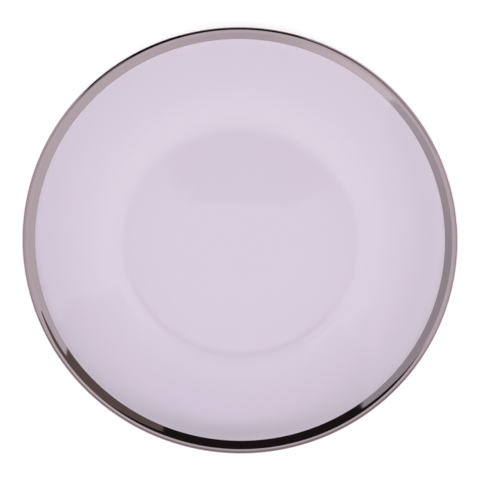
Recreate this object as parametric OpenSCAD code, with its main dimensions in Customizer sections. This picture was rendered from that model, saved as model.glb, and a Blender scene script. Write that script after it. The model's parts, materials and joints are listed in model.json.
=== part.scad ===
// Round charger plate of pressed lilac glass, with a fired silver band over its rounded lip.
// Millimetres, +Z up. The origin is on the plate's axis, level with the flat face of its foot.

/* [Plate] */
// Overall diameter, over the band on the lip
plate_d = 330; // [290:1:380]
// Thickness of the floor, over the hollow of the foot
floor_wall = 4; // [3.8:0.1:6]
// Thickness of the cove and the shoulder, where the press draws the glass thinnest
cove_wall = 3.6; // [3:0.1:3.9]
// Thickness at the lip, up to which the rim thickens outwards
lip_wall = 4.4; // [4:0.1:6]

/* [Well] */
// Diameter of the flat floor
floor_d = 168; // [130:1:200]
// Radius of the hollow cove round the floor
cove_r = 26; // [18:1:45]
// Slope where the cove turns over into the shoulder, in degrees
cove_slope = 20; // [14:1:30]
// Radius of the crowned shoulder between the cove and the rim
shoulder_r = 36; // [15:1:60]

/* [Rim] */
// Slope of the rim where it leaves the shoulder, in degrees
rim_slope = 8; // [3:0.5:11]
// Slope of the rim where it reaches the lip, in degrees
lip_slope = 13; // [10:0.5:20]
// Radius of the brow, which eases the rim over towards the lip
brow_r = 14; // [8:0.5:20]
// How far the brow turns, in degrees
brow_turn = 10; // [6:0.5:12]
// Radius that rounds the lip from above, a smaller one closes it below
lip_r = 2.9; // [2:0.1:5]
// How far the brow and the upper rounding turn before the lower one takes over, in degrees
lip_turn = 65; // [50:1:75]

/* [Foot] */
// Width of the foot's flat face
foot_w = 8; // [4:0.5:16]
// How far the flat face reaches out past the edge of the floor
foot_out = 2.5; // [0.5:0.5:4]
// Width of the rounded heel outside the flat face
heel_w = 4.5; // [4:0.5:6]
// Depth of the hollow inside the flat face, which keeps the plate from rocking
hollow_h = 0.2; // [0.1:0.1:1]
// Width of the slope from the flat face into the hollow
hollow_w = 36; // [15:1:50]

/* [Band] */
// Width of the band on the upper face, seen from above
band_w = 10; // [5:0.5:30]
// Width of the band on the underside, in from where the brow starts on the upper face
band_under = 1; // [0.5:0.5:12]
// Thickness of the metal, drawn thicker than a fired film
film = 0.2; // [0.1:0.05:0.5]

/* [Hidden] */
$fn = 240;

// Farthest that a chord of the section lies from its arc
smooth = 0.01;
// Chords in the heel, in the slope of the hollow and in the underside of the rim
heel_chords = 10;
hollow_chords = 8;
taper_chords = 12;

// Direction out of the upper face where the section climbs at a slope
function up(slope) = [-sin(slope), cos(slope)];
// Point of an arc at a slope: a hollow arc has its centre above, a crowned one a negative radius
function on_arc(centre, radius, slope) = centre - radius * up(slope);
// Chords that keep an arc smooth
function chords(radius, sweep) = ceil(abs(sweep) / (2 * acos(1 - smooth / abs(radius))));
// Points of an arc between two slopes, after its first point
function bend(centre, radius, from, to) =
    let (n = chords(radius, to - from))
    [for (i = [1 : n]) on_arc(centre, radius, from + (to - from) * i / n)];
// The same list from its end to its start
function backwards(points) = [for (i = [len(points) - 1 : -1 : 0]) points[i]];
// Smooth step from 0 to 1
function ease(share) = (1 - cos(180 * share)) / 2;

// The floor
floor_r = floor_d / 2;
floor_z = hollow_h + floor_wall;

// The cove, the shoulder and the rim meet edge to edge, each at the slope of the one before
cove_c = [floor_r, floor_z + cove_r];
shoulder_c = on_arc(cove_c, cove_r + shoulder_r, cove_slope);
shoulder_end = on_arc(shoulder_c, -shoulder_r, rim_slope);

// Radius of the lip's lower rounding, which takes up what the brow and the upper one leave of the wall
under_r = (lip_wall - brow_r * (1 - cos(brow_turn)) - lip_r * (cos(brow_turn) - cos(lip_turn)))
    / (1 + cos(lip_turn));
brow_slope = lip_slope - brow_turn;
lip_end_slope = lip_slope - lip_turn;

// The rim's radius brings the lip and its metal out to the full diameter
lip_reach = brow_r * (sin(lip_slope) - sin(brow_slope))
    + lip_r * (sin(brow_slope) - sin(lip_end_slope))
    + under_r * (1 + sin(lip_end_slope));
rim_end_r = plate_d / 2 - film - lip_reach;
rim_r = (rim_end_r - shoulder_end.x) / (sin(lip_slope) - sin(rim_slope));
rim_c = on_arc(shoulder_end, -rim_r, rim_slope);
brow_c = on_arc(rim_c, rim_r + brow_r, lip_slope);
lip_c = on_arc(brow_c, lip_r - brow_r, brow_slope);
under_c = on_arc(lip_c, under_r - lip_r, lip_end_slope);

// Slopes at which the band starts on the upper face and ends on the underside
band_slope = asin((plate_d / 2 - band_w - rim_c.x) / rim_r);
under_slope = lip_slope - band_under / (rim_r + lip_wall) * 180 / PI;

// The foot's flat face, and the slope of the cove's underside where the heel runs into it
foot_outer = floor_r + foot_out;
foot_inner = foot_outer - foot_w;
heel_slope = asin((foot_out + heel_w) / (cove_r + cove_wall));

// Height of the cove's underside
function underside(r) = cove_c.y - sqrt(pow(cove_r + cove_wall, 2) - pow(r - floor_r, 2));
// Point of the heel, from the flat face at share 0 to the cove's underside at share 1
function heel(share) =
    let (r = foot_outer + share * heel_w)
    [r, underside(r) * ease(share)];

// Section of the foot, from its heel inwards to the axis
foot = concat(
    [for (i = [heel_chords - 1 : -1 : 0]) heel(i / heel_chords)],
    [for (i = [0 : hollow_chords])
        [foot_inner - hollow_w * i / hollow_chords, hollow_h * ease(i / hollow_chords)]],
    [[0, hollow_h]]
);

// Line over the lip where the band lies, raised off the glass by a lift, after its first point.
// Under the lip the section runs back towards the axis, so its slope has turned by half a turn.
function over_lip(lift) = concat(
    bend(rim_c, rim_r - lift, band_slope, lip_slope),
    bend(brow_c, -brow_r - lift, lip_slope, brow_slope),
    bend(lip_c, -lip_r - lift, brow_slope, lip_end_slope),
    bend(under_c, -under_r - lift, lip_end_slope, lip_slope - 180),
    [on_arc(rim_c, rim_r + lip_wall + lift, lip_slope)],
    bend(rim_c, rim_r + lip_wall + lift, lip_slope, under_slope)
);

// Underside of the rim, from the slope under the band's edge inwards, which thins at the shoulder
taper = [for (i = [0 : taper_chords])
    let (share = i / taper_chords)
    on_arc(rim_c, rim_r + lip_wall + (cove_wall - lip_wall) * ease(share * share),
        band_slope + (rim_slope - band_slope) * share)];

// Half section of the glass: along the upper face to the lip, and back along the underside
glass_section = concat(
    [[0, floor_z], [floor_r, floor_z]],
    bend(cove_c, cove_r, 0, cove_slope),
    bend(shoulder_c, -shoulder_r, cove_slope, rim_slope),
    bend(rim_c, rim_r, rim_slope, band_slope),
    over_lip(0),
    taper,
    bend(shoulder_c, cove_wall - shoulder_r, rim_slope, cove_slope),
    bend(cove_c, cove_r + cove_wall, cove_slope, heel_slope),
    foot
);

// Half section of the band: its bed on the glass, and back over its outer face
band_section = concat(
    [on_arc(rim_c, rim_r, band_slope)],
    over_lip(0),
    backwards(over_lip(film)),
    [on_arc(rim_c, rim_r - film, band_slope)]
);

// The pressed glass body, a shallow dish on a low broad foot
module glass_plate() {
    color([0.84, 0.79, 0.85, 0.6])
        rotate_extrude()
            polygon(glass_section);
}

// The metal fired on the lip, from the upper face round to the underside
module silver_band() {
    color([0.66, 0.60, 0.63])
        rotate_extrude()
            polygon(band_section);
}

glass_plate();
silver_band();
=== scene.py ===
"""A round charger plate of lilac glass with a silver band fired over its lip, from above on white paper.

Everything is in metres, in the plate's own frame: the axis is Z, and the foot's flat face is at height 0.
"""
import json
import math

import bpy
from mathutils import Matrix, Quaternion, Vector


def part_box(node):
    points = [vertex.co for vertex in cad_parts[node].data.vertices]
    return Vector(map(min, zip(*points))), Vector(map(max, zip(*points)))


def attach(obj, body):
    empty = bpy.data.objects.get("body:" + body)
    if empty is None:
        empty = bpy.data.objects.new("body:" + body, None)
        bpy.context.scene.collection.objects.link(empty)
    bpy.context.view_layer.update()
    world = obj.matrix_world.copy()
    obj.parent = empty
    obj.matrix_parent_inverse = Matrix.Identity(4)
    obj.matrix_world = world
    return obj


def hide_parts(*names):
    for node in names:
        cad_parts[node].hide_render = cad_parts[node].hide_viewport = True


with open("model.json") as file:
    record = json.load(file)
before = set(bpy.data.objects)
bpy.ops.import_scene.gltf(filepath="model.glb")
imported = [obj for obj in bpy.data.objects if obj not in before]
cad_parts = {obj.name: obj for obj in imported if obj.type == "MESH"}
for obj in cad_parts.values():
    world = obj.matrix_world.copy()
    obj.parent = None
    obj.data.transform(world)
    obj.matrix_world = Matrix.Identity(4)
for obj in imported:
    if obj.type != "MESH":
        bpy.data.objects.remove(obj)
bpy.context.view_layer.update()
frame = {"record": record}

# Sizes of the glass and its band, as a glassmaker would give them
COVE_WALL = 0.0036
LIP_WALL = 0.0044
FLOOR_DIAMETER = 0.168
COVE_RADIUS = 0.026
COVE_SLOPE = 20
SHOULDER_RADIUS = 0.036
RIM_SLOPE = 8
LIP_SLOPE = 13
BROW_RADIUS = 0.014
BROW_TURN = 10
LIP_RADIUS = 0.0029
LIP_TURN = 65
FOOT_WIDTH = 0.008
FOOT_OUT = 0.0025
HEEL_WIDTH = 0.0045
HOLLOW_DEPTH = 0.0002
HOLLOW_WIDTH = 0.036
BAND_WIDTH = 0.010
BAND_UNDER = 0.001

# How finely the two pieces are turned
TURN_STEPS = 256
CHORD_GAP = 0.000004
HEEL_STEPS = 16
HOLLOW_STEPS = 10
TAPER_STEPS = 16
BAND_STEPS = 24

# A ring this far inside the edge of the floor keeps the shading of the floor flat
FLOOR_EDGE = 0.0004
# The floor and the hollow close in the middle with a cap, whose radius is the floor's over this
CAP_PART = 40
# The metal bites this far into the glass, so no face of it lies in a face of the glass
BITE = 0.00004
# Points nearer than this are merged into one
WELD = BITE / 10
# The film's edges on the glass are rounded off
EDGE_RADIUS = 0.00012
EDGE_STEPS = 4
# Edges sharper than this are shaded as edges, in degrees
SHARP_EDGE = 40
HALF_TURN = 180

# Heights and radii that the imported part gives
band_low, band_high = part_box("silver_band")
glass_low, glass_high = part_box("glass_plate")
plate_radius = min(band_high.x, -band_low.x, band_high.y, -band_low.y)
film = plate_radius - min(glass_high.x, -glass_low.x, glass_high.y, -glass_low.y)
mount_height = {mount["name"]: mount["pos_m"][2] for mount in frame["record"]["mounts"]}
floor_height = mount_height["well_floor"]
floor_radius = FLOOR_DIAMETER / 2


# Section of the plate

def up(slope):
    """Direction out of the upper face where the half section climbs at a slope in degrees."""
    return Vector((-math.sin(math.radians(slope)), math.cos(math.radians(slope))))


def on_arc(centre, radius, slope):
    """Point of an arc at a slope. A hollow arc has its centre above, a crowned one a negative radius."""
    return centre - radius * up(slope)


def bend(centre, radius, start, end, least=1):
    """Points of an arc between two slopes, after its first point."""
    step = 2 * math.degrees(math.acos(1 - CHORD_GAP / abs(radius)))
    count = max(least, math.ceil(abs(end - start) / step))
    return [on_arc(centre, radius, start + (end - start) * i / count) for i in range(1, count + 1)]


cove_centre = Vector((floor_radius, floor_height + COVE_RADIUS))
shoulder_centre = on_arc(cove_centre, COVE_RADIUS + SHOULDER_RADIUS, COVE_SLOPE)
shoulder_end = on_arc(shoulder_centre, -SHOULDER_RADIUS, RIM_SLOPE)

# A brow eases the rim over, a tighter radius rounds the lip, and the smallest one closes it below
brow_end = LIP_SLOPE - BROW_TURN
lip_end = LIP_SLOPE - LIP_TURN
brow_fall = BROW_RADIUS * up(0).dot(up(0) - up(BROW_TURN))
lip_fall = LIP_RADIUS * up(0).dot(up(BROW_TURN) - up(LIP_TURN))
under_radius = (LIP_WALL - brow_fall - lip_fall) / (1 + up(LIP_TURN).y)
brow_reach = BROW_RADIUS * (up(brow_end) - up(LIP_SLOPE)).x
lip_reach = LIP_RADIUS * (up(lip_end) - up(brow_end)).x
under_reach = under_radius * (up(-HALF_TURN / 2) - up(lip_end)).x
rim_end_radius = plate_radius - film - brow_reach - lip_reach - under_reach
rim_radius = (rim_end_radius - shoulder_end.x) / (up(RIM_SLOPE) - up(LIP_SLOPE)).x
rim_centre = on_arc(shoulder_end, -rim_radius, RIM_SLOPE)
brow_centre = on_arc(rim_centre, rim_radius + BROW_RADIUS, LIP_SLOPE)
lip_centre = on_arc(brow_centre, LIP_RADIUS - BROW_RADIUS, brow_end)
under_centre = on_arc(lip_centre, under_radius - LIP_RADIUS, lip_end)
band_slope = math.degrees(math.asin((plate_radius - BAND_WIDTH - rim_centre.x) / rim_radius))
under_slope = LIP_SLOPE - math.degrees(BAND_UNDER / (rim_radius + LIP_WALL))


def ease(share):
    """Smooth step from 0 to 1."""
    return (1 - math.cos(math.pi * share)) / 2


def foot():
    """Section of the underside from the heel inwards: heel, flat face, slope into the hollow."""
    outer = floor_radius + FOOT_OUT
    points = []
    for i in reversed(range(HEEL_STEPS)):
        share = i / HEEL_STEPS
        radius = outer + share * HEEL_WIDTH
        depth = math.sqrt((COVE_RADIUS + COVE_WALL) ** 2 - (radius - floor_radius) ** 2)
        points.append(Vector((radius, (cove_centre.y - depth) * ease(share))))
    for i in range(HOLLOW_STEPS + 1):
        share = i / HOLLOW_STEPS
        points.append(Vector((outer - FOOT_WIDTH - share * HOLLOW_WIDTH, HOLLOW_DEPTH * ease(share))))
    return points


def over_lip(lift, inset=0.0):
    """Line over the lip between the band's two edges, raised off the glass and drawn in from the edges.

    Under the lip the section runs back towards the axis, so its slope has turned by half a turn.
    """
    inset = math.degrees(inset / rim_radius)
    first = band_slope + inset
    last = under_slope + inset
    return [
        on_arc(rim_centre, rim_radius - lift, first),
        *bend(rim_centre, rim_radius - lift, first, LIP_SLOPE, BAND_STEPS),
        *bend(brow_centre, -BROW_RADIUS - lift, LIP_SLOPE, brow_end),
        *bend(lip_centre, -LIP_RADIUS - lift, brow_end, lip_end),
        *bend(under_centre, -under_radius - lift, lip_end, LIP_SLOPE - HALF_TURN),
        on_arc(rim_centre, rim_radius + LIP_WALL + lift, LIP_SLOPE),
        *bend(rim_centre, rim_radius + LIP_WALL + lift, LIP_SLOPE, last),
    ]


def taper():
    """Underside of the rim from under the band's edge inwards, which thins at the shoulder."""
    points = []
    for i in range(TAPER_STEPS + 1):
        share = i / TAPER_STEPS
        wall = LIP_WALL + (COVE_WALL - LIP_WALL) * ease(share ** 2)
        points.append(on_arc(rim_centre, rim_radius + wall, band_slope + (RIM_SLOPE - band_slope) * share))
    return points


def glass_section():
    """Half section of the glass, along the upper face to the lip and back along the underside."""
    cap = floor_radius / CAP_PART
    heel_slope = math.degrees(math.asin((FOOT_OUT + HEEL_WIDTH) / (COVE_RADIUS + COVE_WALL)))
    return [
        Vector((cap, floor_height)),
        Vector((floor_radius / 2, floor_height)),
        Vector((floor_radius - FLOOR_EDGE, floor_height)),
        Vector((floor_radius, floor_height)),
        *bend(cove_centre, COVE_RADIUS, 0, COVE_SLOPE),
        *bend(shoulder_centre, -SHOULDER_RADIUS, COVE_SLOPE, RIM_SLOPE),
        *bend(rim_centre, rim_radius, RIM_SLOPE, band_slope),
        *over_lip(0)[1:],
        *taper(),
        *bend(shoulder_centre, COVE_WALL - SHOULDER_RADIUS, RIM_SLOPE, COVE_SLOPE),
        *bend(cove_centre, COVE_RADIUS + COVE_WALL, COVE_SLOPE, heel_slope),
        *foot(),
        Vector((cap, HOLLOW_DEPTH)),
    ]


def band_section():
    """Closed section of the band: its bed in the glass, and back over its outer face with rounded edges."""
    bed = over_lip(-BITE)
    face = over_lip(film, EDGE_RADIUS)
    rounds = []
    for i in range(EDGE_STEPS):
        angle = math.pi / 2 * i / EDGE_STEPS
        lift = film - EDGE_RADIUS * (1 - math.sin(angle))
        rounds.append(over_lip(lift, EDGE_RADIUS * (1 - math.cos(angle))))
    lower_edge = [line[-1] for line in rounds]
    upper_edge = [line[0] for line in reversed(rounds)]
    return bed + lower_edge + list(reversed(face)) + upper_edge


# Modelling

def turned(name, section, closed):
    """Body turned from a half section: a hoop drawn out ring by ring, then closed on itself or capped."""
    bpy.ops.object.select_all(action="DESELECT")
    radius, height = section[0]
    bpy.ops.mesh.primitive_circle_add(vertices=TURN_STEPS, radius=radius, location=(0, 0, height))
    bpy.ops.object.transform_apply(location=True, rotation=False, scale=False)
    piece = bpy.context.object
    piece.name = piece.data.name = name
    bpy.ops.object.mode_set(mode="EDIT")
    bpy.ops.mesh.select_mode(type="EDGE")
    bpy.ops.mesh.select_all(action="SELECT")
    stops = section + section[:1] if closed else section
    for here, there in zip(stops, stops[1:]):
        bpy.ops.mesh.extrude_edges_move(TRANSFORM_OT_translate={"value": (0, 0, there.y - here.y)})
        widen = there.x / here.x
        bpy.ops.transform.resize(value=(widen, widen, 1), center_override=(0, 0, there.y))
    bpy.ops.mesh.select_all(action="SELECT")
    bpy.ops.mesh.remove_doubles(threshold=WELD)
    if not closed:
        bpy.ops.mesh.fill_holes(sides=0)
        bpy.ops.mesh.select_all(action="SELECT")
    bpy.ops.mesh.normals_make_consistent(inside=False)
    bpy.ops.object.mode_set(mode="OBJECT")
    bpy.ops.object.shade_smooth_by_angle(angle=math.radians(SHARP_EDGE))
    return piece


glass = turned("lilac_glass_body", glass_section(), closed=False)
band = turned("silver_lustre_band", band_section(), closed=True)


# Materials

# Smears from handling on both pieces, and the rubbing in them
SMEAR_SCALE = 42.0
SMEAR_DETAIL = 7.0
SMEAR_GRAIN = 0.62
SMEAR_FROM = 0.45
SMEAR_TO = 0.75
RUB_SCALE = 700.0
RUB_DETAIL = 3.0

# Glass: its own colour drifts a little, and its depth tints the light by the way through it, in metres
GLASS_COOL = (0.99, 0.985, 1.0, 1)
GLASS_WARM = (1.0, 0.985, 0.99, 1)
DRIFT_SCALE = 9.0
DRIFT_DETAIL = 2.0
GLASS_DEPTH = (0.644, 0.501, 0.71, 1)
GLASS_DENSITY = 104.0
GLASS_IOR = 1.5
LAMPLIGHT = (1.0, 1.0, 1.0, 1)
GLASS_SMEAR = 0.02
WAVE_SCALE = 28.0
WAVE_DETAIL = 1.0
WAVE_STRENGTH = 0.1
WAVE_HEIGHT = 0.0002
SCUFF_HEIGHT = 0.00006
SCUFF_SCALE = 260.0
SCUFF_DETAIL = 8.0
SCUFF_GRAIN = 0.8
SCUFF_HAZE = 0.25

# Silver: streaks that are long round the rim and narrow across it
SILVER_DARK = (0.85, 0.70, 0.765, 1)
SILVER_LIGHT = (0.89, 0.735, 0.80, 1)
STREAK_ALONG = 9.0
STREAK_ACROSS = 2600.0
STREAK_DETAIL = 3.0
STREAK_FROM = 0.3
STREAK_TO = 0.7
POLISHED = 0.01
BRUSHED = 0.03
SILVER_SMEAR = 0.03
RUB_SHARE = 0.5
BRUSH_STRENGTH = 0.1
BRUSH_HEIGHT = 0.00001


def new_material(name):
    """Material with an empty node tree, and that tree."""
    material = bpy.data.materials.new(name)
    material.use_nodes = True
    tree = material.node_tree
    tree.nodes.clear()
    return material, tree


def add(tree, kind, inputs=(), **settings):
    """Node in a tree, with its settings, and with values or links for its inputs by name or number."""
    node = tree.nodes.new(kind)
    for key, value in settings.items():
        setattr(node, key, value)
    for key, value in dict(inputs).items():
        if isinstance(value, bpy.types.NodeSocket):
            tree.links.new(value, node.inputs[key])
        else:
            node.inputs[key].default_value = value
    return node


def reckon(tree, operation, *values):
    """Result of a sum on numbers."""
    return add(tree, "ShaderNodeMath", dict(enumerate(values)), operation=operation).outputs[0]


def reckon_vector(tree, operation, *values):
    """Result of a sum on vectors."""
    return add(tree, "ShaderNodeVectorMath", dict(enumerate(values)), operation=operation).outputs[0]


def spread(tree, value, low, high, start=0.0, end=1.0, easing="LINEAR"):
    """Value between a low and a high mark, drawn out between a start and an end."""
    limits = {"Value": value, "From Min": low, "From Max": high, "To Min": start, "To Max": end}
    return add(tree, "ShaderNodeMapRange", limits, interpolation_type=easing).outputs[0]


def noise(tree, place, scale, detail, grain=0.5):
    """Cloudy noise between 0 and 1."""
    look = {"Vector": place, "Scale": scale, "Detail": detail, "Roughness": grain}
    return add(tree, "ShaderNodeTexNoise", look).outputs[0]


def blend(tree, share, first, second):
    """Colour between two others: a mix node's sockets for colours come after those for other kinds."""
    return add(tree, "ShaderNodeMix", {0: share, 6: first, 7: second}, data_type="RGBA").outputs[2]


def bump(tree, height, strength, distance):
    """Normal of a surface with a fine relief."""
    relief = {"Height": height, "Strength": strength, "Distance": distance}
    return add(tree, "ShaderNodeBump", relief).outputs[0]


def handling_marks():
    """Node group for both materials: cloudy smears from handling, and the fine height of rubbed spots."""
    group = bpy.data.node_groups.new("handling_marks", "ShaderNodeTree")
    group.interface.new_socket("Amount", in_out="INPUT", socket_type="NodeSocketFloat")
    group.interface.new_socket("Smear", in_out="OUTPUT", socket_type="NodeSocketFloat")
    group.interface.new_socket("Height", in_out="OUTPUT", socket_type="NodeSocketFloat")
    amount = add(group, "NodeGroupInput").outputs["Amount"]
    place = add(group, "ShaderNodeTexCoord").outputs["Object"]
    cloud = noise(group, place, SMEAR_SCALE, SMEAR_DETAIL, SMEAR_GRAIN)
    cloud = spread(group, cloud, SMEAR_FROM, SMEAR_TO, easing="SMOOTHSTEP")
    smear = reckon(group, "MULTIPLY", cloud, amount)
    height = reckon(group, "MULTIPLY", cloud, noise(group, place, RUB_SCALE, RUB_DETAIL))
    add(group, "NodeGroupOutput", {"Smear": smear, "Height": height})
    return group


def lilac_glass():
    """Clear pressed glass: tinted through its thickness, with slow waves and a scuffed foot."""
    material, tree = new_material("lilac_glass")
    place = add(tree, "ShaderNodeTexCoord").outputs["Object"]
    marks = add(tree, "ShaderNodeGroup", {"Amount": GLASS_SMEAR}, node_tree=marks_group).outputs
    tint = blend(tree, noise(tree, place, DRIFT_SCALE, DRIFT_DETAIL), GLASS_COOL, GLASS_WARM)
    waves = bump(tree, noise(tree, place, WAVE_SCALE, WAVE_DETAIL), WAVE_STRENGTH, WAVE_HEIGHT)
    height = add(tree, "ShaderNodeSeparateXYZ", {0: place}).outputs["Z"]
    scuff = noise(tree, place, SCUFF_SCALE, SCUFF_DETAIL, SCUFF_GRAIN)
    scuffed = reckon(tree, "MULTIPLY", spread(tree, height, SCUFF_HEIGHT, 0.0), scuff)
    haze = reckon(tree, "MULTIPLY_ADD", scuffed, SCUFF_HAZE, marks["Smear"])
    surface = add(tree, "ShaderNodeBsdfPrincipled", {
        "Base Color": tint, "Roughness": haze, "Normal": waves,
        "IOR": GLASS_IOR, "Transmission Weight": 1.0})
    lamplight = add(tree, "ShaderNodeBsdfTransparent", {"Color": LAMPLIGHT})
    path = add(tree, "ShaderNodeLightPath").outputs
    to_floor = add(tree, "ShaderNodeMixShader", {
        0: path["Is Diffuse Ray"], 1: surface.outputs[0], 2: lamplight.outputs[0]})
    to_lamps = add(tree, "ShaderNodeMixShader", {
        0: path["Is Shadow Ray"], 1: to_floor.outputs[0], 2: lamplight.outputs[0]})
    depth = add(tree, "ShaderNodeVolumeAbsorption", {"Color": GLASS_DEPTH, "Density": GLASS_DENSITY})
    add(tree, "ShaderNodeOutputMaterial", {"Surface": to_lamps.outputs[0], "Volume": depth.outputs[0]})
    return material


def silver_lustre():
    """Fired silver: brushed on round and round, so faint streaks follow the rim."""
    material, tree = new_material("silver_lustre")
    place = add(tree, "ShaderNodeTexCoord").outputs["Object"]
    marks = add(tree, "ShaderNodeGroup", {"Amount": SILVER_SMEAR}, node_tree=marks_group).outputs
    height = add(tree, "ShaderNodeSeparateXYZ", {0: place}).outputs["Z"]
    flat = reckon_vector(tree, "MULTIPLY", place, (1, 1, 0))
    radius = add(tree, "ShaderNodeVectorMath", {0: flat}, operation="LENGTH").outputs["Value"]
    along = reckon_vector(tree, "MULTIPLY", flat, (STREAK_ALONG, STREAK_ALONG, 0))
    across = reckon(tree, "MULTIPLY", reckon(tree, "SUBTRACT", radius, height), STREAK_ACROSS)
    across = add(tree, "ShaderNodeCombineXYZ", {"Z": across}).outputs[0]
    streak = noise(tree, reckon_vector(tree, "ADD", along, across), 1.0, STREAK_DETAIL)
    tint = blend(tree, streak, SILVER_DARK, SILVER_LIGHT)
    rough = spread(tree, streak, STREAK_FROM, STREAK_TO, POLISHED, BRUSHED)
    haze = reckon(tree, "ADD", marks["Smear"], rough)
    relief = reckon(tree, "MULTIPLY_ADD", marks["Height"], RUB_SHARE, streak)
    lines = bump(tree, relief, BRUSH_STRENGTH, BRUSH_HEIGHT)
    surface = add(tree, "ShaderNodeBsdfPrincipled", {
        "Base Color": tint, "Roughness": haze, "Metallic": 1.0, "Normal": lines})
    add(tree, "ShaderNodeOutputMaterial", {"Surface": surface.outputs[0]})
    return material


marks_group = handling_marks()
for piece, node, slot, material in (
    (glass, "glass_plate", "lilac_glass", lilac_glass()),
    (band, "silver_band", "silver_lustre", silver_lustre()),
):
    piece.data.materials.append(material)
    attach(piece, "root")
    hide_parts(node)


# Paper under the plate

# Part of what the paper shows is its own light: under the glass, and bare
PAPER_GLOW = 0.322
PAPER_GLOW_BARE = 0.53
PAPER_COLOUR = (0.85, 0.85, 0.85, 1)
PAPER_ROUGHNESS = 0.9
PAPER_DROP = 0.0002
PAPER_RADIUS = 12
PAPER_CORNERS = 64
WHITE = (1, 1, 1, 1)


def white_paper():
    """White paper, whose own light only the eye, glass and metal see.

    Bare it glows more than under the glass, so it is white up to a narrow shadow round the plate.
    """
    material, tree = new_material("white_floor")
    path = add(tree, "ShaderNodeLightPath").outputs
    mirrored = reckon(tree, "MAXIMUM", path["Is Glossy Ray"], path["Is Transmission Ray"])
    covered = reckon(tree, "MULTIPLY", mirrored, PAPER_GLOW)
    bare = reckon(tree, "MULTIPLY", path["Is Camera Ray"], PAPER_GLOW_BARE)
    surface = add(tree, "ShaderNodeBsdfPrincipled", {
        "Base Color": PAPER_COLOUR, "Roughness": PAPER_ROUGHNESS, "Specular IOR Level": 0.0,
        "Emission Color": WHITE, "Emission Strength": reckon(tree, "MAXIMUM", covered, bare)})
    add(tree, "ShaderNodeOutputMaterial", {"Surface": surface.outputs[0]})
    return material


bpy.ops.object.select_all(action="DESELECT")
bpy.ops.mesh.primitive_circle_add(
    vertices=PAPER_CORNERS, radius=PAPER_RADIUS, fill_type="NGON", location=(0, 0, -PAPER_DROP))
floor = bpy.context.object
floor.name = "floor"
floor.data.materials.append(white_paper())


# Cards that the glass and the silver mirror

BLACK = (0.010, 0.008, 0.008, 1)
BROWN = (0.100, 0.081, 0.073, 1)
PALE_GREY = (0.41, 0.41, 0.42, 1)
GREY = (0.305, 0.305, 0.315, 1)
# A card's colour turns over from its front one to its rear one between these places along Y
FADE_FRONT = -0.2
FADE_REAR = 0.9
# They hang level and far above, so the well, the rim and the band see them in nearly one place
CARD_HEIGHT = 4.0
CARD_GAP = 0.02
BLACK_OUTLINE = (
    (0.10, 0.90), (-0.15, 0.885), (-0.17, 0.985), (-0.52, 1.065), (-0.92, 1.62), (-0.97, 2.05),
    (-2.5, 5.0), (-8.0, 12.5), (-5.0, 13.5), (-1.2, 9.5), (1.3, 9.5), (0.9, 5.5), (0.42, 3.0),
    (0.40, 2.35), (0.44, 1.9), (0.38, 1.6), (0.24, 1.25), (0.12, 1.0))
BROWN_OUTLINE = (
    (0.08, 0.90), (0.16, 0.94), (0.28, 1.045), (0.45, 1.12), (0.755, 1.255), (1.10, 1.455),
    (1.21, 1.69), (1.12, 1.79), (1.13, 1.9), (1.6, 4.7), (0.0, 4.7))
GREY_OUTLINE = (
    (-2.0, -0.24), (-0.90, -0.22), (-0.91, 0.6), (-0.80, 1.15), (-0.80, 2.3), (-2.0, 2.3))
# A stand behind the plate, which the lip mirrors
STAND_LEFT = (-1.35, 1.48)
STAND_RIGHT = (-0.62, 1.9)
STAND_HEIGHT = 2.4


def card(name, front, rear, corners):
    """Flat card with a front and a rear colour, which only glass and metal see."""
    bpy.ops.object.select_all(action="DESELECT")
    bpy.ops.mesh.primitive_circle_add(vertices=len(corners), fill_type="NGON")
    sheet = bpy.context.object
    sheet.name = name
    for vertex, corner in zip(sheet.data.vertices, corners):
        vertex.co = corner
    material, tree = new_material(name)
    place = add(tree, "ShaderNodeTexCoord").outputs["Object"]
    depth = add(tree, "ShaderNodeSeparateXYZ", {0: place}).outputs["Y"]
    colour = blend(tree, spread(tree, depth, FADE_FRONT, FADE_REAR), front, rear)
    surface = add(tree, "ShaderNodeEmission", {"Color": colour})
    add(tree, "ShaderNodeOutputMaterial", {"Surface": surface.outputs[0]})
    sheet.data.materials.append(material)
    sheet.visible_camera = False
    sheet.visible_diffuse = False
    sheet.visible_shadow = False


def overhead(layer, outline):
    """Corners of a card that hangs level, in one of the layers from below."""
    return [(x, y, CARD_HEIGHT + layer * CARD_GAP) for x, y in outline]


card("black_card", BLACK, BLACK, overhead(0, BLACK_OUTLINE))
card("brown_card", BROWN, BROWN, overhead(1, BROWN_OUTLINE))
card("grey_card", PALE_GREY, GREY, overhead(2, GREY_OUTLINE))
card("black_stand", BLACK, BLACK, [
    (*STAND_LEFT, 0.0), (*STAND_RIGHT, 0.0), (*STAND_RIGHT, STAND_HEIGHT), (*STAND_LEFT, STAND_HEIGHT)])


# Lamps: a broad window at the front, which glass and metal don't mirror

# Bearing, angle from straight up, and strength
KEY_LAMPS = (
    (-90, 22, 0.43), (-88, 38, 0.38), (-48, 48, 0.24), (-120, 48, 0.20), (-30, 54, 0.25), (-146, 52, 0.20))
KEY_SPREAD = 24

for bearing, zenith, strength in KEY_LAMPS:
    tilt = math.radians(zenith)
    turn = math.radians(bearing)
    toward_key = Vector((math.sin(tilt) * math.cos(turn), math.sin(tilt) * math.sin(turn), math.cos(tilt)))
    key_data = bpy.data.lights.new(f"key_{bearing}_{zenith}", "SUN")
    key_data.energy = strength
    key_data.angle = math.radians(KEY_SPREAD)
    key = bpy.data.objects.new(key_data.name, key_data)
    bpy.context.scene.collection.objects.link(key)
    key.location = toward_key
    key.rotation_mode = "QUATERNION"
    key.rotation_quaternion = (-toward_key).to_track_quat("-Z", "Y")
    key.visible_glossy = False
    key.visible_transmission = False


# Room

# It grows brighter from the horizon up
SKY_LOW = 0.22
SKY_RISE = 0.29
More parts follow.
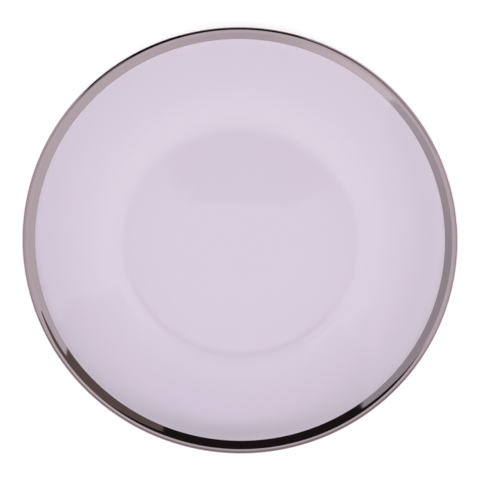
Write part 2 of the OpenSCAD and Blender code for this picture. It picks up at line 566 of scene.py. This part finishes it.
# High up at the front it is dimmer, and at the horizon it isn't
FRONT_DROP = 0.20
FRONT_FROM = -0.05
FRONT_TO = -0.40
FRONT_LIFT = 0.6
# A brighter patch overhead, a little to the front left, out to where it fades
WINDOW_TOWARD = Vector((-0.33, -0.24, 0.91)).normalized()
WINDOW_GAIN = 0.12
WINDOW_EDGE = 0.94
WINDOW_CORE = 0.99

world = bpy.data.worlds.new("studio")
bpy.context.scene.world = world
world.use_nodes = True
sky = world.node_tree
sky.nodes.clear()
heading = add(sky, "ShaderNodeTexCoord").outputs["Generated"]
way = add(sky, "ShaderNodeSeparateXYZ", {0: heading}).outputs
rise = spread(sky, way["Z"], 0.0, 1.0, SKY_LOW, SKY_LOW + SKY_RISE)
front = spread(sky, way["Y"], FRONT_FROM, FRONT_TO, 0.0, FRONT_DROP, "SMOOTHSTEP")
front = reckon(sky, "MULTIPLY", front, spread(sky, way["Z"], 0.0, FRONT_LIFT))
nearness = add(sky, "ShaderNodeVectorMath", {0: heading, 1: WINDOW_TOWARD}, operation="DOT_PRODUCT")
window = spread(sky, nearness.outputs["Value"], WINDOW_EDGE, WINDOW_CORE, 0.0, WINDOW_GAIN, "SMOOTHSTEP")
level = reckon(sky, "SUBTRACT", reckon(sky, "ADD", rise, window), front)
background = add(sky, "ShaderNodeBackground", {"Color": WHITE, "Strength": level})
add(sky, "ShaderNodeOutputWorld", {"Surface": background.outputs[0]})


# Camera

CAMERA_DISTANCE = 2.3
CAMERA_ELEVATION = 78.5
CAMERA_ROLL = 6.0
SENSOR_WIDTH = 36
# The plate's diameter and the picture's width, in pixels
PLATE_PIXELS = 436.3
PICTURE_PIXELS = 480
# The camera looks a little in front of the axis
AIM_FRONT = 0.00205

elevation = math.radians(CAMERA_ELEVATION)
back = Vector((0, -math.cos(elevation), math.sin(elevation)))
aim = Vector((0, -AIM_FRONT, under_centre.y))
camera_data = bpy.data.cameras.new("camera")
camera_data.sensor_width = SENSOR_WIDTH
camera_data.lens = SENSOR_WIDTH * CAMERA_DISTANCE * PLATE_PIXELS / (PICTURE_PIXELS * 2 * plate_radius)
camera = bpy.data.objects.new("camera", camera_data)
bpy.context.scene.collection.objects.link(camera)
camera.location = aim + back * CAMERA_DISTANCE
camera.rotation_mode = "QUATERNION"
roll = Quaternion((0, 0, 1), math.radians(CAMERA_ROLL))
camera.rotation_quaternion = (-back).to_track_quat("-Z", "Y") @ roll
bpy.context.scene.camera = camera
bpy.context.scene.view_settings.view_transform = "Standard"
